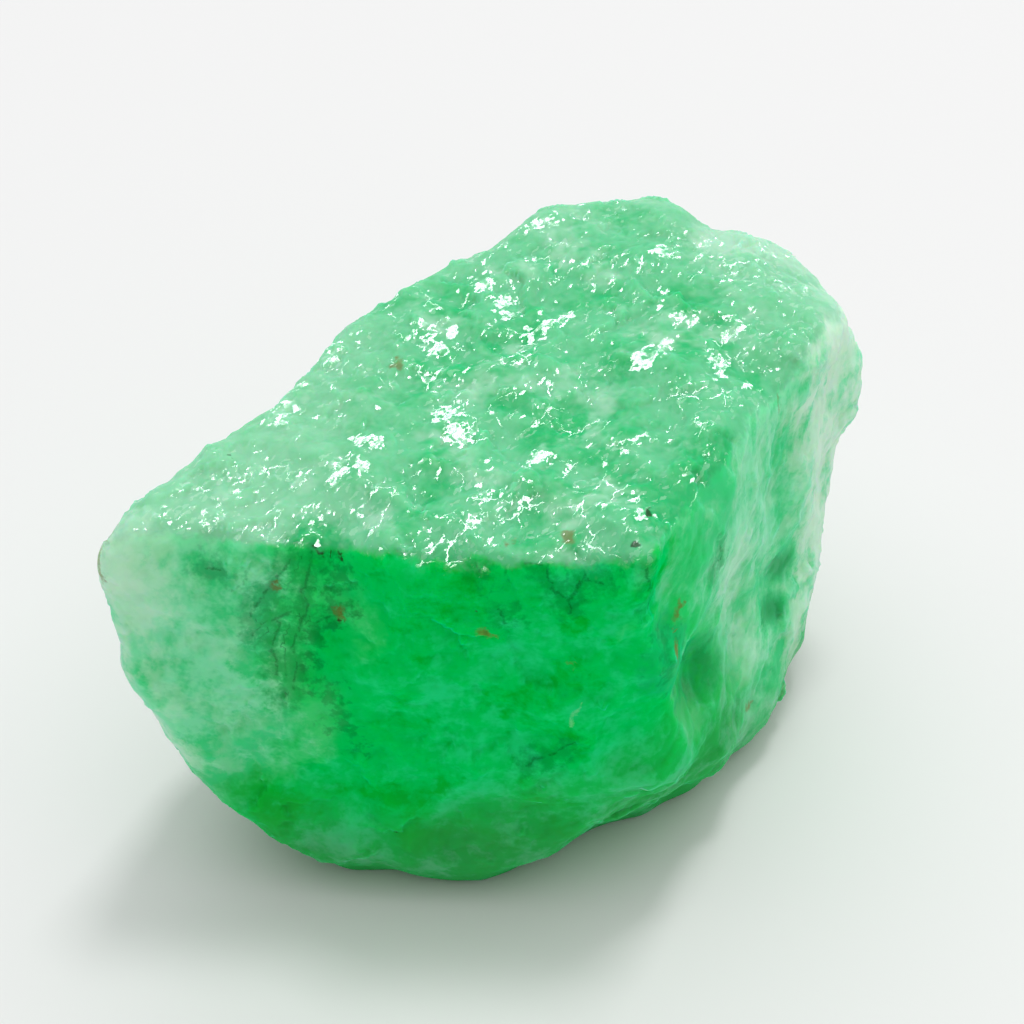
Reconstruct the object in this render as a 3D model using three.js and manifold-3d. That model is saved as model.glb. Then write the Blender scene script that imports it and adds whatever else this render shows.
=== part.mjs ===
// A raw, broken lump of green fluorite as one solid: a long block with a near-level crown, flanks that lean
// in towards a small flat foot, knobs and hollows along its rims, and shallow flake scars all over.
// Millimetres, +Z up. X runs along the lump, and the origin is the middle of its box, on the table.

import * as THREE from "three";
import { mergeVertices } from "three/addons/utils/BufferGeometryUtils.js";
import Module from "manifold-3d";

// ---- driving dimensions (millimetres and degrees) ----

const HEART = new THREE.Vector3(0, 0, 10.4); // every face is measured from this point inside the stone
const EDGE_SHARPNESS = 32; // higher is a crisper meeting of two faces

// The big breaks. Heading is where a face looks in plan (0 = +X, 90 = +Y), rise is how far it looks
// up (+) or down (-), and reach is its distance from the heart.
const MAIN_FACES = [
  { heading: 0, rise: 90, reach: 10 }, // crown
  { heading: 165, rise: 48, reach: 19 }, // left shoulder
  { heading: 8, rise: 60, reach: 15.6 }, // shelf that slopes off the crown at the right
  { heading: -116, rise: -4, reach: 10.3 }, // broad front flank
  { heading: -127, rise: -1, reach: 10.2 }, // front left flank
  { heading: 178, rise: -4, reach: 17 }, // left end, front corner
  { heading: 150, rise: -6, reach: 14.9 }, // left end
  { heading: 150, rise: -20, reach: 13.6 }, // left end, leaning in
  { heading: 150, rise: -40, reach: 12.9 }, // left tuck
  { heading: 115, rise: 14, reach: 9.5 }, // long back flank, leaning out to a belly
  { heading: 101, rise: 8, reach: 9.6 }, // back flank, right half
  { heading: 52, rise: 2, reach: 14.6 }, // back right corner
  { heading: 5, rise: -6, reach: 16.9 }, // right end
  { heading: -16, rise: -12, reach: 16.4 }, // right end, front half
  { heading: -57, rise: 3, reach: 10.4 }, // right flank
  { heading: -86, rise: -35, reach: 11.5 }, // front tuck
  { heading: -125, rise: -42, reach: 13 }, // front left tuck
  { heading: -165, rise: -36, reach: 14.6 }, // left lower tuck
  { heading: -52, rise: -36, reach: 14.4 }, // right tuck
  { heading: 10, rise: -35, reach: 16.6 }, // far right tuck
  { heading: 112, rise: -20, reach: 9.8 }, // back, below the belly
  { heading: 95, rise: -42, reach: 12.2 }, // back tuck
];

const STEEPEST_CAP = 45; // a face that looks up at least this much belongs to the top, not to the flanks

// The surface is a box's grid, drawn out so that its edges follow the rim and the four upright corners
// of the block, and its rows run level.
const GRID = {
  leftTip: [-17, 0.1],
  front: [0.8, -11.8],
  rightTip: [17.8, 1],
  back: [9.9, 10.5],
  cellsAlong: 40, // front to right tip, and left tip to back
  cellsAcross: 32, // left tip to front, and back to right tip
  rows: 24,
  highest: 20.4, // height of the rim
  lowest: -1, // just below the foot
};

// Lumps (height above 0) and hollows (below 0). Each runs from one point near the surface to another,
// fades out over its spread, and is measured in the frame of the heart.
const LUMPS = [
  { from: [-14.2, -1.6, 20], to: [-10.4, -4.2, 20], spread: 2.4, height: -0.7 }, // dip in the front left rim
  { from: [-10.3, -4.8, 20], to: [-11.4, -4.2, 14], spread: 1.6, height: -0.6 }, // groove below the dip
  { from: [-8, -6.6, 19.5], to: [-8.4, -6.6, 14], spread: 1.6, height: 0.4 }, // ridge beside the groove
  { from: [-6.2, -8, 20.2], to: [-5.2, -8.8, 20.2], spread: 1.2, height: -0.4 }, // chip on the front rim
  { from: [-2.2, -10.4, 20.2], to: [-1.6, -10.8, 20], spread: 1, height: -0.4 }, // chip near the front corner
  { from: [4.4, -9, 20.2], to: [5, -8.6, 20], spread: 1, height: -0.4 }, // chip on the right rim
  { from: [0.6, -11.6, 19], to: [0.9, -11.6, 16], spread: 1.2, height: -0.5 }, // worn front corner
  { from: [-17.2, 0.5, 18.6], to: [-17.2, 0.5, 17], spread: 2.2, height: 0.2 }, // blunt nose of the left end
  { from: [-16.8, -1, 14.6], to: [-16.2, 2, 14.6], spread: 1.4, height: -0.3 }, // nick under the nose
  { from: [-8.8, 3.6, 20], to: [-7.6, 6.4, 12], spread: 3, height: -0.3 }, // scoop in the long back flank
  { from: [-2, 7.8, 19], to: [-1.4, 9.8, 9], spread: 2.6, height: 0.5 }, // rib on the back flank
  { from: [5, 11, 14], to: [8.6, 10.6, 6], spread: 3, height: -1.1 }, // scoop low on the back right
  { from: [12, 8.8, 20], to: [13.4, 7.6, 19.6], spread: 1.5, height: 0.6 }, // back right shoulder
  { from: [14.6, 7, 20.4], to: [15.2, 6.6, 17], spread: 1.1, height: -0.6 }, // nick at the back right
  { from: [15.8, 5, 18.8], to: [16.8, 3.6, 18.8], spread: 1.7, height: 0.7 }, // lobe below the shelf
  { from: [17.8, 1.2, 18.6], to: [17.8, 0.2, 18], spread: 1.5, height: -0.8 }, // chip off the right tip
  { from: [17.4, -1.6, 15.4], to: [17.2, -1.8, 14.2], spread: 1.4, height: 1.5 }, // knob on the right end
  { from: [15.4, -3.4, 12], to: [16.2, -2.6, 11.4], spread: 1.3, height: -0.6 }, // nick under the knob
  { from: [10, -5, 20], to: [10.6, -5.6, 14.5], spread: 2.4, height: -0.6 }, // channel down the right flank
  { from: [12.6, -4.4, 19], to: [12.8, -4.6, 13], spread: 1.5, height: 0.4 }, // rib beside the channel
  { from: [3.6, -9.6, 12], to: [4.2, -9.4, 10], spread: 1.9, height: -1 }, // left one of two flake hollows
  { from: [7.4, -7.6, 11.4], to: [7.8, -7.2, 9], spread: 1.7, height: -0.9 }, // right one of the two
  { from: [11, -5.4, 9.2], to: [11.6, -5, 8.4], spread: 1.6, height: -0.9 }, // hollow low on the right flank
  { from: [7.6, -7.6, 5.2], to: [8.6, -7, 4.8], spread: 1.2, height: -0.6 }, // small hollow under it
  { from: [-3.4, -9.8, 8.4], to: [3.4, -9.8, 8], spread: 1.3, height: 0.5 }, // brow over the front tuck
  { from: [-3, -8.8, 5.6], to: [4, -9, 5.2], spread: 1.3, height: -0.4 }, // crease under the brow
  { from: [-13.4, -1.6, 8], to: [-9.6, -4.4, 6.4], spread: 1.8, height: -0.5 }, // hollow low on the left
];

// Flake scars: shallow dishes that meet at crisp ridges, as small chips leave them.
const SCARS = {
  count: 420,
  seed: 41,
  stretch: 1.6, // spreads them evenly over the long form
  scatter: 0.05, // how far a scar strays from an even spread, of the whole sphere
  dish: 0.1, // depth of a dish at 1 mm from its middle, growing with the square of the distance
  levels: 0.36, // deepest scar to shallowest
  tilt: 0.16, // steepest slope of a scar
  sink: 0.22, // how far the deepest parts lie under the big breaks
};
const CLEARANCE = 50; // how far the box that cuts the foot reaches past the stone
const GREEN = 0x35b873;

// ---- the stone's skin ----

function unitVector(heading, rise) {
  const turn = THREE.MathUtils.degToRad(heading);
  const lift = THREE.MathUtils.degToRad(rise);
  return new THREE.Vector3(
    Math.cos(lift) * Math.cos(turn),
    Math.cos(lift) * Math.sin(turn),
    Math.sin(lift),
  );
}

const faces = MAIN_FACES.map(({ heading, rise, reach }) => ({
  vector: unitVector(heading, rise).divideScalar(reach),
  isFlank: rise < STEEPEST_CAP,
}));

const lumps = LUMPS.map(({ from, to, spread, height }) => ({
  line: new THREE.Line3(new THREE.Vector3(...from), new THREE.Vector3(...to)),
  spread,
  height,
}));

// Where a ray from the heart meets the big breaks, with their edges a little rounded.
function blockPoint(direction) {
  let total = 0;
  for (const { vector } of faces) {
    const facing = vector.dot(direction);
    total += Math.max(facing, 0) ** EDGE_SHARPNESS;
  }
  return direction.clone().multiplyScalar(total ** (-1 / EDGE_SHARPNESS)).add(HEART);
}

function makeScars({ count, seed, stretch, scatter, levels, tilt }) {
  THREE.MathUtils.seededRandom(seed);
  const spread = (size) => THREE.MathUtils.lerp(-size, size, THREE.MathUtils.seededRandom());
  const goldenAngle = Math.PI * (3 - Math.sqrt(5));
  return Array.from({ length: count }, (_, index) => {
    const height = 1 - (2 * index + 1) / count;
    const radius = Math.sqrt(1 - height * height);
    const turn = index * goldenAngle;
    const direction = new THREE.Vector3(
      (radius * Math.cos(turn) + spread(scatter)) * stretch,
      radius * Math.sin(turn) + spread(scatter),
      height + spread(scatter),
    );
    return {
      middle: blockPoint(direction.normalize()),
      level: THREE.MathUtils.seededRandom() * levels,
      slope: new THREE.Vector3(spread(tilt), spread(tilt), spread(tilt)),
    };
  });
}

const scars = makeScars(SCARS);

function scarHeight(point) {
  const heights = scars.map(({ middle, level, slope }) => {
    const offset = point.clone().sub(middle);
    return level + slope.dot(offset) + SCARS.dish * offset.lengthSq();
  });
  return Math.min(...heights) - SCARS.sink;
}

function lumpHeight(point) {
  let total = 0;
  for (const { line, spread, height } of lumps) {
    const nearest = line.closestPointToPoint(point, true, new THREE.Vector3());
    total += height * Math.exp(-((nearest.distanceTo(point) / spread) ** 2));
  }
  return total;
}

// How far the flanks lie from the upright axis through the heart, looking one way at one height.
function flankRadius(outwards, height) {
  const radii = faces
    .filter(({ vector, isFlank }) => isFlank && vector.dot(outwards) > 0)
    .map(({ vector }) => (1 - vector.z * (height - HEART.z)) / vector.dot(outwards));
  return Math.min(...radii);
}

const [leftTip, front, rightTip, back] = [GRID.leftTip, GRID.front, GRID.rightTip, GRID.back].map(
  ([x, y]) => new THREE.Vector3(x, y, 0),
);

// Plan point for a place on the box, whose sides run from -1 to 1 each way.
function planPoint(x, y) {
  const frontSide = front.clone().lerp(rightTip, (x + 1) / 2);
  const backSide = leftTip.clone().lerp(back, (x + 1) / 2);
  return frontSide.lerp(backSide, (y + 1) / 2);
}

// Direction from the heart for a corner of the grid.
function gridDirection(corner) {
  const height = THREE.MathUtils.mapLinear(corner.z, -1, 1, GRID.lowest, GRID.highest);
  const direction = new THREE.Vector3();
  const share = Math.max(Math.abs(corner.x), Math.abs(corner.y));
  if (share > 0) {
    direction.copy(planPoint(corner.x / share, corner.y / share)).normalize();
    direction.multiplyScalar(share * flankRadius(direction, height));
  }
  direction.z = height - HEART.z;
  return direction.normalize();
}

function makeShell() {
  const box = new THREE.BoxGeometry(2, 2, 2, GRID.cellsAlong, GRID.cellsAcross, GRID.rows);
  box.deleteAttribute("normal");
  box.deleteAttribute("uv");
  const shell = mergeVertices(box);
  const positions = shell.attributes.position;
  for (let index = 0; index < positions.count; index += 1) {
    const direction = gridDirection(new THREE.Vector3().fromBufferAttribute(positions, index));
    const point = blockPoint(direction);
    point.addScaledVector(direction, lumpHeight(point) + scarHeight(point));
    positions.setXYZ(index, point.x, point.y, point.z);
  }
  return shell;
}

// ---- the flat foot ----

const wasm = await Module();
wasm.setup();

function solidOf(geometry) {
  const mesh = new wasm.Mesh({
    numProp: 3,
    vertProperties: new Float32Array(geometry.attributes.position.array),
    triVerts: new Uint32Array(geometry.index.array),
  });
  return new wasm.Manifold(mesh);
}

function makeTable(size) {
  const block = new THREE.BoxGeometry(size, size, size).translate(0, 0, -size / 2);
  block.deleteAttribute("normal");
  block.deleteAttribute("uv");
  return mergeVertices(block);
}

function standOnFoot(shell) {
  shell.computeBoundingBox();
  const size = shell.boundingBox.getSize(new THREE.Vector3()).x + CLEARANCE;
  const mesh = solidOf(shell).subtract(solidOf(makeTable(size))).getMesh();
  const geometry = new THREE.BufferGeometry();
  geometry.setAttribute("position", new THREE.BufferAttribute(mesh.vertProperties, mesh.numProp));
  geometry.setIndex(new THREE.BufferAttribute(mesh.triVerts, 1));
  geometry.computeBoundingBox();
  const middle = geometry.boundingBox.getCenter(new THREE.Vector3());
  geometry.translate(-middle.x, -middle.y, 0);
  geometry.computeVertexNormals();
  return geometry;
}

// ---- the part ----

const fluorite = new THREE.Mesh(
  standOnFoot(makeShell()),
  new THREE.MeshStandardMaterial({ color: GREEN, roughness: 0.3, metalness: 0 }),
);
fluorite.name = "fluorite";

const stone = new THREE.Group();
stone.add(fluorite);

export default stone;
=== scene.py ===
import math

import bpy
import numpy as np
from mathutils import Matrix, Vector, noise


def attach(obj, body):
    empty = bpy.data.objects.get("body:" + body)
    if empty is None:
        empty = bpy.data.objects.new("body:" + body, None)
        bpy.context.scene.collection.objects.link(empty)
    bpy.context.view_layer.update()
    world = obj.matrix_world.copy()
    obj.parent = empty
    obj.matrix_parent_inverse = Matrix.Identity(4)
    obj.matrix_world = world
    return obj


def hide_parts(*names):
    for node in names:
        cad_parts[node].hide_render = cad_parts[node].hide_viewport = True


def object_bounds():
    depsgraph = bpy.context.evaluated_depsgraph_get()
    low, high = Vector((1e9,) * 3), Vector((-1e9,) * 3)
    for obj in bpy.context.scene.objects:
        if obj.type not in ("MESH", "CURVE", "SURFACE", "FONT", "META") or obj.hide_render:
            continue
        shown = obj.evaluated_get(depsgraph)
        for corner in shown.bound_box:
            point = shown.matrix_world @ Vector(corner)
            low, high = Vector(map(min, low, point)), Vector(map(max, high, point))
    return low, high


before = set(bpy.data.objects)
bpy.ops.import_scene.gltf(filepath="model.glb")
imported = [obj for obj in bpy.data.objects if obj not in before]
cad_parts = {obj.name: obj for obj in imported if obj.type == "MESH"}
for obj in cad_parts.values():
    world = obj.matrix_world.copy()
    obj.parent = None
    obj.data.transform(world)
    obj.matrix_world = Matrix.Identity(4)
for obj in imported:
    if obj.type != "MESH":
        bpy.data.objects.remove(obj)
cadBox = [list(corner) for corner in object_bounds()]
mm = 0.001


def clearSelection():
    if bpy.context.mode != "OBJECT":
        bpy.ops.object.mode_set(mode="OBJECT")
    bpy.ops.object.select_all(action="DESELECT")


def activate(piece):
    clearSelection()
    piece.select_set(True)
    bpy.context.view_layer.objects.active = piece


def applyModifier(piece, kind, **settings):
    activate(piece)
    modifier = piece.modifiers.new(kind.title(), kind)
    for name, value in settings.items():
        setattr(modifier, name, value)
    bpy.ops.object.modifier_apply(modifier=modifier.name)


def blendShare(value, low, high):
    share = min(max((value - low) / (high - low), 0), 1)
    return share * share * (3 - 2 * share)


def fromAngles(heading, rise):
    heading, rise = math.radians(heading), math.radians(rise)
    flat = math.cos(rise)
    return Vector((flat * math.cos(heading), flat * math.sin(heading), math.sin(rise)))


def shade(red, green, blue):  # a colour picked on a screen, from 0 to 255, as the shader wants it
    def straighten(level):
        level /= 255
        return level / 12.92 if level < 0.04045 else ((level + 0.055) / 1.055) ** 2.4

    return (straighten(red), straighten(green), straighten(blue), 1)


stoneSettings = {
    # the fine surface
    "form": {
        "grain": 0.19 * mm,  # edge length of the fine mesh
        "settle": 6,  # rounds that melt the coarse facets
        "wornRounds": 50,  # rounds that wear the crown's edge at the two ends
        "wornFrom": {"left": (-7.5 * mm, -11 * mm), "right": (3 * mm, 6.5 * mm)},
        "wornFill": {"left": 0.1 * mm, "right": 0.18 * mm},  # puts back what the wear takes off
        "calmRounds": 14,  # rounds for the calm copy that says which way the surface really looks
        "footFade": (0.1 * mm, 3 * mm),  # nothing is raised below the first height
        "crownFacing": (0.55, 0.8),  # how far a place looks up to be flank, and to be crown
        "flakes": [
            {"size": 2.6 * mm, "tilt": 0.10, "dish": 0.08, "crown": 1.0, "flank": 1.0, "seed": 3.1},
            {"size": 1.25 * mm, "tilt": 0.14, "dish": 0.08, "crown": 1.0, "flank": 0.7, "seed": 11.7},
            {"size": 0.62 * mm, "tilt": 0.16, "dish": 0.08, "crown": 0.7, "flank": 0.3, "seed": 23.9},
        ],
        "ripple": {"size": 0.8 * mm, "crown": 0.05 * mm, "flank": 0.07 * mm},
    },
    # lines and spots with a place of their own, in millimetres, in the stone's frame
    "marks": {
        # the mossy groove where the pale end meets the deep green
        "groove": [
            [(-9.6, -4.4, 20.0), (-10.0, -4.4, 18.6), (-10.3, -4.5, 17.0), (-11.0, -4.1, 14.8),
             (-11.2, -4.1, 12.6)],
            [(-11.0, -4.1, 13.0), (-10.4, -4.8, 11.0), (-9.8, -5.2, 9.6)],
        ],
        # thin dark cracks
        "crack": [
            [(-10.5, -3.6, 19.1), (-10.9, -3.6, 17.8), (-11.0, -3.7, 16.4), (-11.5, -3.4, 14.8),
             (-11.7, -3.6, 12.6)],
            [(-11.7, -3.6, 12.6), (-12.1, -3.2, 11.8)],
            [(-11.4, -3.3, 18.9), (-12.0, -3.0, 17.8), (-12.4, -2.8, 17.2), (-13.0, -2.7, 16.3)],
            [(-11.6, -3.4, 16.4), (-12.6, -3.0, 16.0), (-13.0, -2.7, 15.2)],
            [(-10.0, -4.6, 16.6), (-10.6, -4.0, 16.2), (-11.1, -3.6, 15.7)],
            [(-12.0, -3.3, 15.8), (-12.3, -3.0, 14.8), (-12.2, -3.1, 13.1)],
            [(-14.1, -1.6, 18.4), (-13.7, -1.9, 18.4)],
            [(-3.7, -9.3, 20.2), (-3.9, -9.6, 19.5), (-3.6, -9.8, 18.7), (-3.2, -10.0, 18.3)],
            [(-2.6, -10.1, 19.7), (-2.8, -10.3, 19.1), (-3.2, -10.0, 18.3), (-3.2, -10.0, 17.7)],
            [(-2.6, -10.2, 19.2), (-2.1, -10.6, 19.3)],
            [(-6.0, -7.8, 19.6), (-5.8, -8.1, 19.3)],
            [(-4.5, -9.0, 20.0), (-4.0, -9.2, 19.9)],
            [(-5.4, -8.6, 17.8), (-5.2, -8.8, 17.1)],
            [(-2.8, -10.0, 10.6), (-3.2, -9.6, 10.1), (-4.1, -9.0, 9.4), (-4.4, -9.0, 9.1)],
            [(-0.8, -11.4, 20.0), (-0.3, -11.0, 17.6)],
            [(4.6, -8.4, 16.7), (4.7, -8.3, 15.9)],
            [(4.2, -8.7, 15.8), (4.2, -8.7, 15.2)],
        ],
        # brown specks
        "rust": [
            [(-10.1, -4.6, 16.8), (-10.0, -4.7, 16.5)],
            [(1.7, -10.1, 15.8), (1.6, -10.3, 15.5)],
            [(1.3, -10.8, 14.4), (1.3, -10.9, 14.3)],
            [(-2.8, -9.1, 20.3), (-2.6, -8.8, 20.4)],
            [(-4.7, -7.8, 20.2), (-4.5, -7.8, 20.2)],
            [(-5.9, -8.1, 16.5), (-5.6, -8.2, 16.3)],
            [(-3.0, -10.0, 15.0), (-2.9, -10.0, 14.9)],
            [(-12.0, -3.0, 17.8), (-11.9, -3.1, 17.6)],
            [(7.8, -6.7, 4.6), (8.1, -6.5, 4.2)],
            [(9.8, -4.7, 19.1), (9.7, -4.6, 18.9)],
            [(-3.1, 3.7, 20.4), (-3.0, 3.8, 20.4)],
            [(-17.1, 1.4, 19.6), (-17.3, 1.1, 18.6), (-17.3, 0.9, 17.4)],
        ],
        # and nearly black ones
        "soot": [
            [(-10.5, -3.6, 19.3), (-10.4, -3.7, 19.1)],
            [(-9.8, -4.3, 19.2), (-9.7, -4.4, 19.1)],
            [(-2.9, -10.3, 19.2), (-2.8, -10.3, 19.0)],
            [(-10.1, -4.6, 16.3), (-10.0, -4.6, 16.2)],
            [(-8.9, -5.5, 4.9), (-8.7, -5.6, 4.7)],
            [(-6.0, -8.0, 17.7), (-6.0, -8.0, 17.6)],
            [(0.4, -9.5, 20.6), (0.7, -9.3, 20.6)],
            [(-0.9, -10.8, 20.5), (-0.8, -10.7, 20.5)],
            [(-11.4, 1.6, 20.3), (-11.4, 1.7, 20.3)],
        ],
        # scoops at the right corner, deep green, with painted shade in them
        "scoop": [
            [(0.7, -11.1, 15.4), (0.5, -11.2, 13.4)],
            [(1.6, -10.8, 14.3), (1.5, -10.9, 12.8)],
            [(2.8, -9.2, 11.4), (4.4, -7.9, 10.6), (4.8, -8.0, 9.4)],
            [(2.4, -9.7, 10.8), (3.6, -8.8, 9.3)],
            [(5.7, -8.3, 5.7), (6.5, -7.7, 5.2)],
        ],
        # hollows low on the right, painted darker
        "hollow": [
            [(10.6, -4.3, 9.9), (11.6, -3.9, 9.0)],
            [(9.9, -5.1, 8.0), (10.8, -4.6, 7.4)],
        ],
        # a thin pale line
        "vein": [
            [(-2.4, -10.1, 12.8), (-3.0, -10.0, 12.3), (-2.9, -9.9, 11.6)],
        ],
        # milky places
        "milk": [
            [(-16.4, 0.2, 19.4), (-16.9, 0.2, 18.4), (-16.7, 0.0, 17.4)],
            [(13.4, 4.9, 20.0), (15.0, 4.4, 19.8), (16.4, 3.4, 18.8)],
            [(6.2, -7.3, 14.6), (6.8, -6.6, 11.6)],
            [(7.4, -6.3, 8.8), (7.8, -6.4, 6.9)],
            [(14.4, -1.6, 18.6), (15.6, 0.4, 18.0)],
        ],
        # and clear green ones
        "green": [
            [(0.9, -9.8, 20.4), (3.4, -8.4, 20.2), (5.2, -7.4, 20.3)],
            [(1.2, -10.6, 19.4), (3.4, -9.0, 19.0)],
            [(-0.1, -3.4, 20.4), (1.0, -3.0, 20.4)],
            [(10.2, -4.3, 17.4), (10.1, -4.3, 15.5)],
            [(11.7, -3.7, 16.3), (11.4, -3.9, 15.6)],
            [(12.2, -3.7, 9.0), (11.0, -4.1, 10.6)],
            [(8.7, -5.5, 10.2), (10.4, -4.7, 8.0)],
            [(-10.4, -3.7, 19.5), (-10.9, -3.5, 18.6)],
            [(-12.2, -3.0, 16.9), (-12.4, -2.9, 13.8)],
            [(-14.6, -1.3, 8.6), (-12.6, -2.7, 10.0)],
            [(-14.7, -0.9, 6.5), (-13.4, -2.0, 7.4)],
        ],
        # cleavage steps that flash together
        "flash": [
            [(-3.4, -0.3, 20.4), (-2.2, 0.0, 20.4)],
            [(-3.4, -1.8, 20.4), (-3.2, -1.4, 20.4)],
            [(-8.9, -1.6, 20.3), (-8.1, -1.3, 20.3)],
            [(-6.6, 0.1, 20.4), (-6.2, -0.5, 20.4)],
            [(2.7, 7.0, 20.3), (3.1, 7.2, 20.3)],
            [(6.6, 9.2, 20.5), (7.4, 9.3, 20.5)],
            [(-11.9, 0.0, 20.2), (-10.9, 0.7, 20.2)],
            [(10.4, 4.9, 20.4), (10.7, 4.8, 20.4)],
            [(2.6, 2.8, 20.4), (4.6, 3.1, 20.4)],
            [(8.3, 0.4, 20.2), (8.6, 0.7, 20.2)],
            [(9.7, -1.2, 20.3), (10.4, -0.8, 20.3)],
            [(7.9, -2.9, 20.1), (8.2, -2.6, 20.1)],
            [(5.4, -1.4, 20.5), (6.8, -0.8, 20.5)],
            [(2.3, 4.6, 20.4), (2.9, 5.5, 20.4)],
            [(-1.0, 4.2, 20.3), (-0.9, 5.2, 20.4)],
            [(-13.9, -0.9, 20.1), (-12.8, -0.6, 20.1)],
            [(-9.0, 2.9, 20.3), (-7.0, 4.6, 20.3)],
            [(-1.2, -4.4, 20.4), (-1.0, -4.3, 20.4)],
        ],
    },
    # colours and finish; places and distances are in millimetres, in the stone's frame
    "look": {
        "scatterScale": 1.6 * mm,
        "scatterShare": 0.8,
        "scatterReach": (0.14, 0.8, 0.35),
        "shineShare": 0.04,  # how much of the light the crown's faces throw back
        "crown": {
            "mint": shade(94, 194, 138),
            "milk": shade(162, 216, 183),
            "cell": shade(38, 180, 106),
        },
        "pale": {
            "mint": shade(124, 232, 172),
            "milk": shade(212, 246, 220),
            "green": shade(30, 210, 120),
        },
        "deep": {
            "emerald": shade(0, 210, 92),
            "leaf": shade(0, 190, 55),
            "sea": shade(30, 220, 130),
            "scoop": shade(14, 190, 104),
        },
        # colours of the band along the lower edge, which is painted shade near the floor
        "low": {"moss": shade(48, 158, 76), "grey": shade(86, 172, 116)},
        # specks, and a moss colour for the groove and cracks that also paints shade into the scoops and
        # darkens the hollows
        "dirtAndShade": {"moss": shade(6, 100, 38), "rust": shade(116, 100, 34), "soot": shade(36, 48, 22)},
        # how far off a mark its colour is full, and gone
        "reach": {
            "rust": (0.0, 0.3),
            "soot": (0.0, 0.12),
            "vein": (0.0, 0.12),
            "crackHalo": (0.0, 0.8),
            "groove": (-0.5, 0.6),
            "grooveHalo": (0.9, 2.6),
            "hollow": (0.1, 1.0),
            "hollowHalo": (0.4, 1.6),
            "scoop": (0.5, 1.2),
            "scoopShade": (-0.4, 0.7),
            "scoopHalo": (0.8, 2.8),
            "milk": (0.2, 2.0),
            "crownMilk": (0.6, 2.4),
            "green": (0.5, 1.5),
            "crownGreen": (0.3, 1.3),
            "flash": (0.1, 0.65),
        },
        "crackWidth": 0.17,
        # along the stone: where a zone starts, and is full, or the other way round
        "deepFrom": (-12.4, -9.4),
        "deepTo": (-0.5, 3.5),
        "leftTip": (-18, -14),
        "rightTip": (9, 14),
        "crownLeft": (-12, -5),
        "crownRight": (7, 13),
        # and up it
        # the band of painted shade along the floor: full below the first height, gone above the second
        "floorShadeBand": (1.5, 8.5),
        "crownFoot": (15.5, 17.5),
        "crownTop": (20.0, 20.6),
        "frontWay": (-0.44, -0.9, 0),
        "frontFacing": (0.2, 0.45),
        "rim": (4, 8),  # how far to the front the crown's rim is
        # sizes of the patterns
        "wander": 5,
        "bend": 6,  # how far the big patches are pushed about
        "ragged": 0.6,
        "streak": 1.5,
        "blotch": 2.6,
        "patch": 1.7,
        "edge": 1.0,
        "crownRagged": 0.5,
        "crownCloud": 2.4,
        "crownStep": 1.1,
        "cleavage": (-0.127, -0.344, 0.930),  # the way the broken steps on the crown look
        # facets on the crown: size, how they tilt, how many show the cleavage, how many more in a flash
        "facets": [
            {"size": 0.45, "tilt": 0.14, "chance": 0.01, "flash": 0.6, "heading": 35, "stretch": 1.8},
            {"size": 0.13, "tilt": 0.22, "chance": 0.026, "flash": 0.25, "heading": 25, "stretch": 2.6},
        ],
    },
}


def makeStone(form):
    stone = bpy.data.objects.new("stone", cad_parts["fluorite"].data.copy())
    bpy.context.scene.collection.objects.link(stone)
    activate(stone)
    bpy.ops.object.mode_set(mode="EDIT")
    bpy.ops.mesh.select_all(action="SELECT")
    bpy.ops.mesh.remove_doubles(threshold=0.001 * mm)
    bpy.ops.object.mode_set(mode="OBJECT")
    applyModifier(stone, "REMESH", mode="VOXEL", voxel_size=form["grain"])
    applyModifier(stone, "SMOOTH", factor=0.5, iterations=form["settle"])
    worn = stone.vertex_groups.new(name="worn")
    for vertex in stone.data.vertices:
        place = vertex.co
        share = max(blendShare(place.x, *form["wornFrom"][side]) for side in form["wornFrom"])
        worn.add([vertex.index], share * blendShare(place.z, *form["footFade"]), "REPLACE")
    applyModifier(stone, "SMOOTH", factor=0.5, iterations=form["wornRounds"], vertex_group="worn")
    print("stone:", len(stone.data.vertices), "vertices")
    return stone


def calmNormals(stone, rounds):
    calm = stone.copy()
    calm.data = stone.data.copy()
    bpy.context.scene.collection.objects.link(calm)
    applyModifier(calm, "SMOOTH", factor=0.5, iterations=rounds)
    normals = [vertex.normal.copy() for vertex in calm.data.vertices]
    bpy.data.objects.remove(calm)
    return normals


# Lowest of the tilted dishes around a place, as small chips leave them.
def flakeHeight(place, flake):
    spot = place / flake["size"] + Vector((flake["seed"],) * 3)
    heights = []
    for distance, middle in zip(*noise.voronoi(spot)):
        chance = noise.cell_vector(middle * 97.3) * 2 - Vector((1, 1, 1))
        heights.append(chance.dot(spot - middle) * flake["tilt"] + flake["dish"] * distance * distance)
    return min(heights) * flake["size"]


def roughen(stone, form):
    normals = calmNormals(stone, form["calmRounds"])
    facing = stone.data.attributes.new("facing", "FLOAT_VECTOR", "POINT")
    ripple = form["ripple"]
    worn = stone.vertex_groups["worn"]
    moves = []
    for vertex, normal in zip(stone.data.vertices, normals):
        place = vertex.co
        onCrown = blendShare(normal.z, *form["crownFacing"])
        facing.data[vertex.index].vector = normal
        height = form["wornFill"]["left" if place.x < 0 else "right"] * worn.weight(vertex.index)
        for flake in form["flakes"]:
            share = flake["flank"] + (flake["crown"] - flake["flank"]) * onCrown
            height += share * flakeHeight(place, flake)
        share = ripple["flank"] + (ripple["crown"] - ripple["flank"]) * onCrown
        height += share * noise.fractal(place / ripple["size"], 0.8, 2.1, 3)
        moves.append(normal * height * blendShare(place.z, *form["footFade"]))
    for vertex, move in zip(stone.data.vertices, moves):
        vertex.co += move
        vertex.co.z = max(vertex.co.z, 0)
    stone.data.update()
    activate(stone)
    bpy.ops.object.shade_smooth()
    print("stone: flakes and ripples raised")


def awayFrom(points, first, second):
    along = second - first
    share = np.clip((points - first) @ along / max(along @ along, 1e-6), 0, 1)
    return points - first - share[:, None] * along


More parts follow.
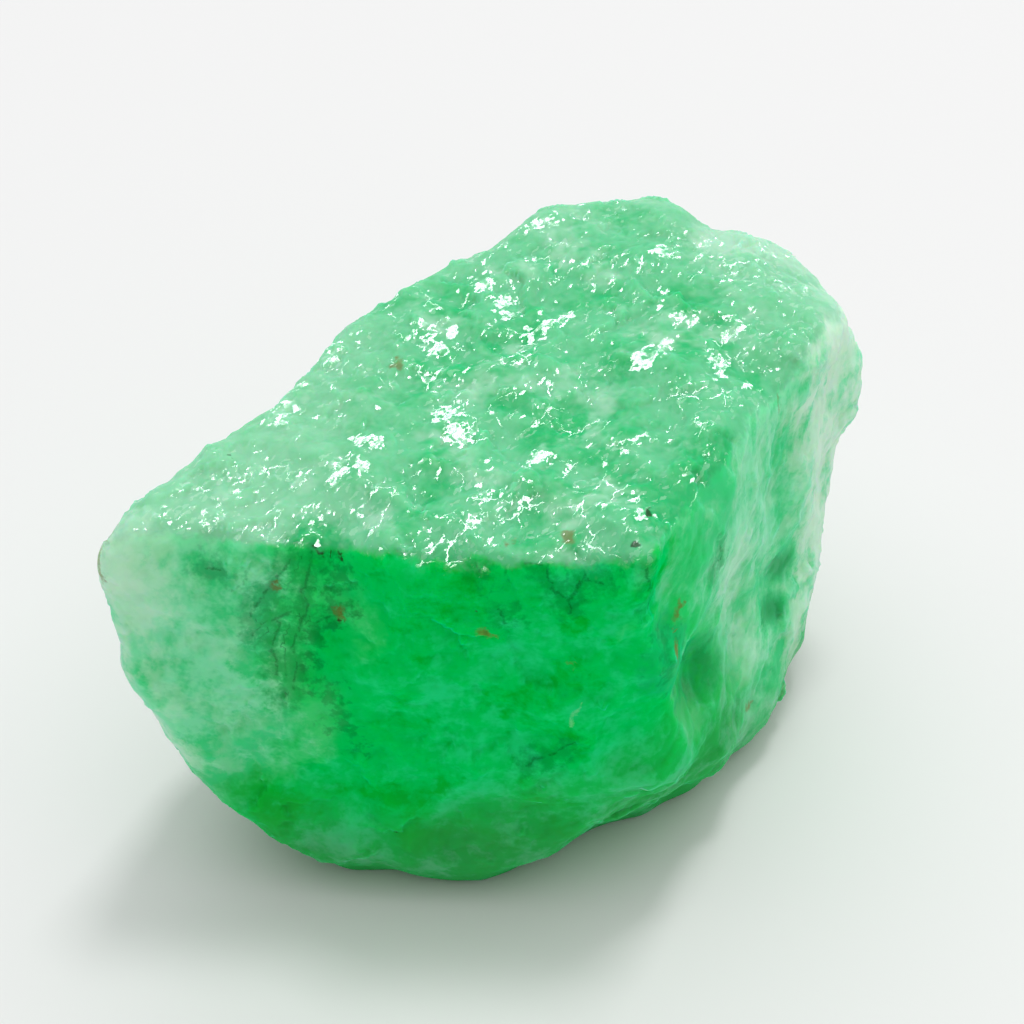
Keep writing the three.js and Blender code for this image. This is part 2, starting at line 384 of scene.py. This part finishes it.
# A line cut into short steps, each laid on the nearest point of the surface.
def layDown(points, line, longest=0.5):
    laid = []
    for first, second in zip(line, line[1:]):
        first, second = np.array(first), np.array(second)
        count = math.ceil(np.linalg.norm(second - first) / longest)
        laid += [first + (second - first) * step / count for step in range(count)]
    laid.append(np.array(line[-1]))
    return [points[np.argmin(np.linalg.norm(points - spot, axis=1))] for spot in laid]


# For each group, how far each point is from the nearest mark and the way from there, in millimetres.
# The way is laid flat on the surface where it is short.
def storeMarks(stone, marks, flatWithin=2, tooFar=99.0):
    points = np.zeros(len(stone.data.vertices) * 3)
    stone.data.vertices.foreach_get("co", points)
    points = points.reshape(-1, 3) / mm
    facing = np.zeros(points.size)
    stone.data.attributes["facing"].data.foreach_get("vector", facing)
    facing = facing.reshape(-1, 3)
    for name, lines in marks.items():
        nearest = np.full(points.shape, tooFar)
        for line in lines:
            spots = layDown(points, line)
            for first, second in zip(spots, spots[1:]):
                away = awayFrom(points, first, second)
                closer = np.linalg.norm(away, axis=1) < np.linalg.norm(nearest, axis=1)
                nearest[closer] = away[closer]
        near = np.linalg.norm(nearest, axis=1) < flatWithin
        depth = np.sum(nearest * facing, axis=1)
        nearest[near] -= (depth[:, None] * facing)[near]
        far = np.linalg.norm(nearest, axis=1)
        attributes = stone.data.attributes
        attributes.new(name, "FLOAT_VECTOR", "POINT").data.foreach_set("vector", nearest.ravel())
        attributes.new(name + "Far", "FLOAT", "POINT").data.foreach_set("value", far)
    print("stone: marks stored")


class Value:  # an output socket; arithmetic on it adds Math nodes
    def __init__(self, bench, socket):
        self.bench = bench
        self.socket = socket

    def maths(self, operation, *numbers):
        return self.bench.make("ShaderNodeMath", {"operation": operation}, dict(enumerate(numbers)))

    def __add__(self, other):
        return self.maths("ADD", self, other)

    def __radd__(self, other):
        return self.maths("ADD", other, self)

    def __sub__(self, other):
        return self.maths("SUBTRACT", self, other)

    def __rsub__(self, other):
        return self.maths("SUBTRACT", other, self)

    def __mul__(self, other):
        return self.maths("MULTIPLY", self, other)

    def __rmul__(self, other):
        return self.maths("MULTIPLY", other, self)

    def __lt__(self, other):
        return self.maths("LESS_THAN", self, other)

    def most(self, other):
        return self.maths("MAXIMUM", self, other)


class Bench:  # makes the nodes of one material
    def __init__(self, name):
        self.material = bpy.data.materials.new(name)
        self.material.use_nodes = True
        self.tree = self.material.node_tree
        self.tree.nodes.clear()

    def make(self, kind, settings, inputs, output=0):
        node = self.tree.nodes.new(kind)
        for name, value in settings.items():
            setattr(node, name, value)
        for name, value in inputs.items():
            if isinstance(value, Value):
                self.tree.links.new(value.socket, node.inputs[name])
            else:
                node.inputs[name].default_value = value
        return Value(self, node.outputs[output]) if len(node.outputs) else None

    def shader(self, **values):
        inputs = {name.replace("_", " "): value for name, value in values.items()}
        return self.make("ShaderNodeBsdfPrincipled", {}, inputs)

    def blend(self, share, first, second):
        return self.make("ShaderNodeMixShader", {}, {0: share, 1: first, 2: second})

    # the stone's cloudy inside: light goes in, spreads and comes out coloured
    def body(self, color, look, **coat):
        return self.shader(
            Base_Color=color,
            Roughness=0.5,
            Specular_IOR_Level=0.0,
            Subsurface_Weight=look["scatterShare"],
            Subsurface_Radius=look["scatterReach"],
            Subsurface_Scale=look["scatterScale"],
            **coat,
        )

    def finish(self, shader):
        self.make("ShaderNodeOutputMaterial", {}, {"Surface": shader})
        return self.material

    def vector(self, operation, *values, output=0):
        inputs = dict(enumerate(values))
        return self.make("ShaderNodeVectorMath", {"operation": operation}, inputs, output)

    def moved(self, place, by):
        return self.vector("ADD", place, by)

    def scaled(self, place, factor):
        return self.make("ShaderNodeVectorMath", {"operation": "SCALE"}, {0: place, "Scale": factor})

    def dot(self, place, direction):
        return self.vector("DOT_PRODUCT", place, direction, output=1)

    def part(self, place, axis):
        return self.make("ShaderNodeSeparateXYZ", {}, {0: place}, axis)

    # shortened along a direction, so that a pattern on it runs out long that way
    def drawnOut(self, place, way, stretch):
        way = Vector(way).normalized()
        cut = self.dot(place, way) * (1 - 1 / stretch)
        return self.vector("SUBTRACT", place, self.scaled(tuple(way), cut))

    def stored(self, name, output="Vector"):
        return self.make("ShaderNodeAttribute", {"attribute_name": name}, {}, output)

    # how far off the nearest mark of a group is
    def far(self, name):
        return self.stored(name + "Far", "Fac")

    # the same, for marks that wander by up to most
    def swayedFar(self, name, sway, most=0.35):
        length = self.vector("LENGTH", self.moved(self.stored(name), sway), output=1)
        return length.most(self.far(name) - most)

    def rise(self, value, low, high):  # 0 below low, 1 above high, smooth between
        inputs = {"Value": value, "From Min": low, "From Max": high}
        return self.make("ShaderNodeMapRange", {"interpolation_type": "SMOOTHSTEP"}, inputs)

    def fall(self, value, low, high):
        return 1 - self.rise(value, low, high)

    def mix(self, share, first, second):
        return self.make("ShaderNodeMix", {"data_type": "RGBA"}, {0: share, 6: first, 7: second}, 2)

    def clouds(self, place, size, detail=3, rough=0.55, output=0):
        inputs = {"Vector": place, "Scale": 1 / size, "Detail": detail, "Roughness": rough}
        return self.make("ShaderNodeTexNoise", {}, inputs, output)

    def cells(self, place, size, feature="F1", output="Color"):
        inputs = {"Vector": place, "Scale": 1 / size}
        return self.make("ShaderNodeTexVoronoi", {"feature": feature}, inputs, output)

    # noise or cell colours moved to lie around nought
    def centred(self, pattern):
        return self.vector("SUBTRACT", pattern, (0.5, 0.5, 0.5))


def specked(bench, color, sway, fray, look):
    dirtAndShade, reach = look["dirtAndShade"], look["reach"]
    rust = bench.fall(bench.swayedFar("rust", sway) + fray * 1.2, *reach["rust"])
    soot = bench.fall(bench.swayedFar("soot", sway) + fray * 0.6, *reach["soot"])
    return bench.mix(soot * 0.85, bench.mix(rust * 0.65, color, dirtAndShade["rust"]), dirtAndShade["soot"])


def crownShader(bench, place, look):
    crown, reach = look["crown"], look["reach"]
    ragged = bench.centred(bench.clouds(place, look["crownRagged"], 2, output=1))
    fray = bench.part(ragged, 2)
    broad = bench.clouds(bench.moved(place, (31, 7, 2)), look["crownCloud"], 3, 0.62, output=1)
    milk = bench.rise(bench.part(broad, 0), 0.5, 0.72)
    cell = bench.rise(bench.part(broad, 1), 0.46, 0.64)
    along = bench.part(place, 0)
    across = bench.part(place, 1)
    drift = (milk - 0.5) * 4
    pale = bench.fall(along + across * -0.6 + drift, *look["crownLeft"])
    pale = pale.most(bench.rise(along.most(across + 3) + drift, *look["crownRight"]))
    green = bench.fall(bench.far("green") + fray * 1.2 + (milk - 0.5) * 0.6, *reach["crownGreen"])
    color = bench.mix((cell * (0.9 - 0.5 * pale)).most(green), crown["mint"], crown["cell"])
    isMilk = (milk * 0.7).most(pale * 0.45)
    isMilk = isMilk.most(bench.fall(bench.far("milk") + fray * 2, *reach["crownMilk"]))
    isMilk = isMilk * (1 - green) + fray * 0.4

    # small flat facets, some of them cleavage steps that all look one way
    rough = bench.moved(place, bench.scaled(ragged, 0.5))
    near = bench.fall(bench.far("flash") + bench.part(ragged, 0) * 1.6, *reach["flash"])
    patchy = bench.rise(bench.part(broad, 2), 0.42, 0.66)
    rim = bench.rise(bench.dot(place, look["frontWay"]), *look["rim"])
    normal = bench.make("ShaderNodeNewGeometry", {}, {}, "Normal")
    drawn = bench.drawnOut(rough, (0.8, 0.6, 0), 2)
    hair = bench.cells(drawn, look["crownStep"], "DISTANCE_TO_EDGE", "Distance")
    isStep = hair < (patchy + rim * 0.3 - 0.4) * (0.04 + fray * 0.1)
    for facet in look["facets"]:
        turn = (0, 0, math.radians(facet["heading"]))
        inputs = {"Vector": rough, "Rotation": turn, "Scale": (facet["stretch"], 1, 1)}
        turned = bench.make("ShaderNodeMapping", {"vector_type": "TEXTURE"}, inputs)
        chance = bench.cells(turned, facet["size"])
        tilt = bench.centred(chance)
        normal = bench.moved(normal, bench.scaled(tilt, 2 * facet["tilt"]))
        share = (patchy * 2 + rim * 0.7) * facet["chance"] + near * facet["flash"]
        isStep = isStep.most(bench.part(chance, 2) < share)
    # pale flecks painted into the crown's colour: painted glints, beside the real ones that the facets
    # throw back
    paintedGlintFleck = bench.part(chance, 1) < patchy * 0.16 + rim * 0.06
    color = bench.mix(isMilk + paintedGlintFleck * 0.35, color, crown["milk"])
    color = specked(bench, color, bench.scaled(ragged, 0.35), fray, look)
    wobble = bench.moved(bench.scaled(ragged, 0.12), bench.scaled(tilt, 0.08))
    normal = bench.mix(isStep, normal, bench.moved(wobble, look["cleavage"]))
    shine = bench.shader(
        Base_Color=(1, 1, 1, 1),
        Metallic=1.0,
        Roughness=0.11,
        Normal=bench.vector("NORMALIZE", normal),
    )
    return bench.blend(look["shineShare"], bench.body(color, look), shine)


def flankShader(bench, place, facing, look):
    reach = look["reach"]
    wander = bench.centred(bench.clouds(place, look["wander"], 1, output=1))
    bent = bench.moved(place, bench.scaled(wander, look["bend"]))
    ragged = bench.clouds(bench.moved(place, (8, 8, 3)), look["ragged"], 3, 0.7, output=1)
    ragged = bench.centred(ragged)
    fray = bench.part(ragged, 0)
    grain = bench.part(ragged, 1)
    swayed = bench.moved(place, bench.scaled(wander, 1.5))
    fibre = bench.drawnOut(bench.moved(swayed, bench.scaled(ragged, 0.6)), (0.35, 0.16, 1), 1.3)
    streak = bench.clouds(fibre, look["streak"], 3, 0.6) - 0.5
    blotch = bench.clouds(bench.moved(swayed, (1, 22, 16)), look["blotch"], 4, 0.66) - 0.5
    cell = bench.cells(bench.moved(swayed, bench.scaled(wander, 2)), look["patch"])
    onFront = bench.dot(facing, look["frontWay"]) + fray * 0.4
    onFront = bench.rise(onFront, *look["frontFacing"])
    height = bench.part(place, 2)
    along = bench.part(bent, 0)

    # pale ends: mint with soft milky streaks and green patches
    pale = look["pale"]
    tips = bench.rise(along, *look["rightTip"]).most(bench.fall(along, *look["leftTip"]))
    lower = bench.fall(height, 5, 14) * bench.rise(along, 0, 5)
    corner = bench.rise(along, -2, 0) * bench.fall(along, 3, 7)
    patch = streak * 0.5 + blotch + grain * 0.3 + lower.most(corner) * 0.16 - tips * 0.12
    patch = bench.rise(patch, -0.1, 0.16)
    patch = patch.most(bench.fall(bench.far("green") + fray * 2 + blotch * 4, *reach["green"]))
    color = bench.mix(patch * 0.85, pale["mint"], pale["green"])
    isMilk = bench.rise(streak - blotch * 0.6 + tips * 0.16 + fray * 0.3, -0.06, 0.2)
    isMilk = isMilk * (0.18 + 0.6 * tips)
    milk = bench.fall(bench.far("milk") + streak * 5 + fray, *reach["milk"])
    isMilk = isMilk.most(milk * (0.35 + 0.5 * tips))
    # near the hollows the milk is held back, and further down they are painted darker
    hollow = bench.far("hollow") + fray * 0.8
    color = bench.mix(isMilk * bench.rise(hollow, *reach["hollowHalo"]), color, pale["milk"])

    # the deep green of the front
    deep = look["deep"]
    leaf = blotch + (bench.part(cell, 1) - 0.5) * 0.06 + grain * 0.35
    leaf = bench.rise(leaf, 0.0, 0.2)
    sea = streak * 0.5 - blotch + (bench.part(cell, 2) - 0.5) * 0.06 + fray * 0.35
    sea = bench.rise(sea, -0.04, 0.2)
    deepColor = bench.mix(leaf, deep["emerald"], deep["leaf"])
    deepColor = bench.mix(sea * 0.9, deepColor, deep["sea"])
    isDeep = bench.rise(along + bench.fall(height, 3, 12) * 4 + blotch * 4.5, *look["deepFrom"])
    deepEnd = along + streak * 6 - bench.fall(height, 6, 13) * 5
    isDeep = isDeep * bench.fall(deepEnd, *look["deepTo"]) * onFront
    color = bench.mix(isDeep, color, deepColor)

    # the scoops, deep green with painted shade in them, and the pale line
    dirtAndShade = look["dirtAndShade"]
    scoop = bench.far("scoop") + blotch * 2 + fray * 0.6
    halo = bench.mix(sea, deep["emerald"], deep["sea"])
    color = bench.mix(bench.fall(scoop, *reach["scoopHalo"]) * 0.6, color, halo)
    core = bench.mix(leaf * 0.6, deep["scoop"], deep["leaf"])
    color = bench.mix(bench.fall(scoop, *reach["scoop"]) * 0.9, color, core)
    # the moss colour laid into the scoops is painted shade
    scoopShade = bench.fall(scoop + grain * 4 + fray * 2, *reach["scoopShade"])
    color = bench.mix(scoopShade * 0.3, color, dirtAndShade["moss"])
    vein = bench.swayedFar("vein", bench.scaled(ragged, 0.5)) + fray * 0.3
    color = bench.mix(bench.fall(vein, *reach["vein"]) * 0.2, color, pale["milk"])

    # the lower edge, greyer and darker towards the floor: painted shade
    low = look["low"]
    floorShadeShift = bench.rise(along, 3, 9) * 5 - bench.rise(along, -6, 1) * 4
    floorShade = bench.fall(bench.part(bent, 2) + floorShadeShift, *look["floorShadeBand"])
    color = bench.mix(floorShade * 0.85, color, bench.mix(sea, low["moss"], low["grey"]))

    # dark moss in the groove, the hollows painted darker, then cracks and specks
    groove = bench.far("groove") + blotch * 3
    grooveHalo = bench.fall(groove + fray * 3, *reach["grooveHalo"])
    color = bench.mix(grooveHalo * 0.75, color, deep["emerald"])
    grooveMoss = bench.fall(groove + fray * 4 + grain * 3, *reach["groove"])
    color = bench.mix(grooveMoss * 0.42, color, dirtAndShade["moss"])
    color = bench.mix(bench.fall(hollow, *reach["hollow"]) * 0.5, color, dirtAndShade["moss"])
    crack = bench.swayedFar("crack", bench.scaled(ragged, 0.5))
    isCrack = bench.fall(crack, 0.0, look["crackWidth"] + fray * 0.16) * 0.7
    isCrack = isCrack.most(bench.fall(crack + fray * 2.5, *reach["crackHalo"]) * 0.34)
    color = bench.mix(isCrack, color, dirtAndShade["moss"])
    color = specked(bench, color, bench.scaled(ragged, 0.5), fray, look)
    return bench.body(color, look, Coat_Weight=0.25 * (1 - isDeep), Coat_Roughness=0.2)


def paintStone(look):
    bench = Bench("fluoriteGreen")
    place = bench.scaled(bench.make("ShaderNodeTexCoord", {}, {}, "Object"), 1 / mm)
    facing = bench.stored("facing")
    edge = bench.clouds(place, look["edge"], 3, 0.65) - 0.5
    onCrown = bench.rise(bench.part(facing, 2) + edge * 0.8, 0.35, 0.75)
    height = bench.part(place, 2) + edge * 2
    onCrown = onCrown.most(bench.rise(height, *look["crownTop"]))
    onCrown = onCrown * bench.rise(height, *look["crownFoot"])
    flank = flankShader(bench, place, facing, look)
    crown = crownShader(bench, place, look)
    return bench.finish(bench.blend(onCrown, flank, crown))


stone = makeStone(stoneSettings["form"])
roughen(stone, stoneSettings["form"])
storeMarks(stone, stoneSettings["marks"])
stone.data.materials.clear()
stone.data.materials.append(paintStone(stoneSettings["look"]))
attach(stone, "root")
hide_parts("fluorite")
print("stone: painted")

studioSettings = {
    "floorSize": 1.2,
    "floorColor": (0.8, 0.8, 0.8, 1),
    "roomColor": (1, 1, 1, 1),
    "roomLevel": 0.44,
    # a broad soft panel overhead, and a small lamp that makes the glints
    "lights": [
        {"name": "panel", "heading": 20, "rise": 80, "distance": 0.6, "size": (1.06, 1.06), "power": 3.1},
        {"name": "lamp", "heading": 25, "rise": 79, "distance": 0.6, "size": (0.11, 0.11), "power": 0.95},
    ],
}


def makeStudio(look):
    clearSelection()
    bpy.ops.mesh.primitive_plane_add(size=look["floorSize"])
    floor = bpy.context.object
    floor.name = "floor"
    paper = Bench("paper")
    shader = paper.shader(Base_Color=look["floorColor"], Roughness=0.9, Specular_IOR_Level=0.0)
    floor.data.materials.append(paper.finish(shader))
    world = bpy.data.worlds.new("room")
    world.use_nodes = True
    background = world.node_tree.nodes["Background"]
    background.inputs["Color"].default_value = look["roomColor"]
    background.inputs["Strength"].default_value = look["roomLevel"]
    bpy.context.scene.world = world
    for light in look["lights"]:
        towards = fromAngles(light["heading"], light["rise"])
        bpy.ops.object.light_add(type="AREA", location=towards * light["distance"])
        lamp = bpy.context.object
        lamp.name = light["name"]
        lamp.data.shape = "RECTANGLE"
        lamp.data.size, lamp.data.size_y = light["size"]
        lamp.data.energy = light["power"]
        lamp.rotation_euler = towards.to_track_quat("Z", "Y").to_euler()
    print("studio: set up")


makeStudio(studioSettings)

cameraSettings = {
    "offset": (2.55 * mm, 4.16 * mm, -0.5 * mm),  # point aimed at, from the middle of the stone's box
    "azimuth": -30,
    "elevation": 40,
    "distance": 107 * mm,
    "lens": 85,
    "sensor": 36,
    "seesFrom": 1 * mm,
    "seesTo": 10,
}


def makeCamera(look):
    middle = (Vector(cadBox[0]) + Vector(cadBox[1])) / 2
    aim = middle + Vector(look["offset"])
    back = fromAngles(look["azimuth"] - 90, look["elevation"])
    bpy.ops.object.camera_add(location=aim + back * look["distance"])
    camera = bpy.context.object
    camera.rotation_euler = back.to_track_quat("Z", "Y").to_euler()
    camera.data.lens = look["lens"]
    camera.data.sensor_width = look["sensor"]
    camera.data.clip_start = look["seesFrom"]
    camera.data.clip_end = look["seesTo"]
    bpy.context.scene.camera = camera


makeCamera(cameraSettings)
bpy.context.scene.view_settings.view_transform = "Standard"
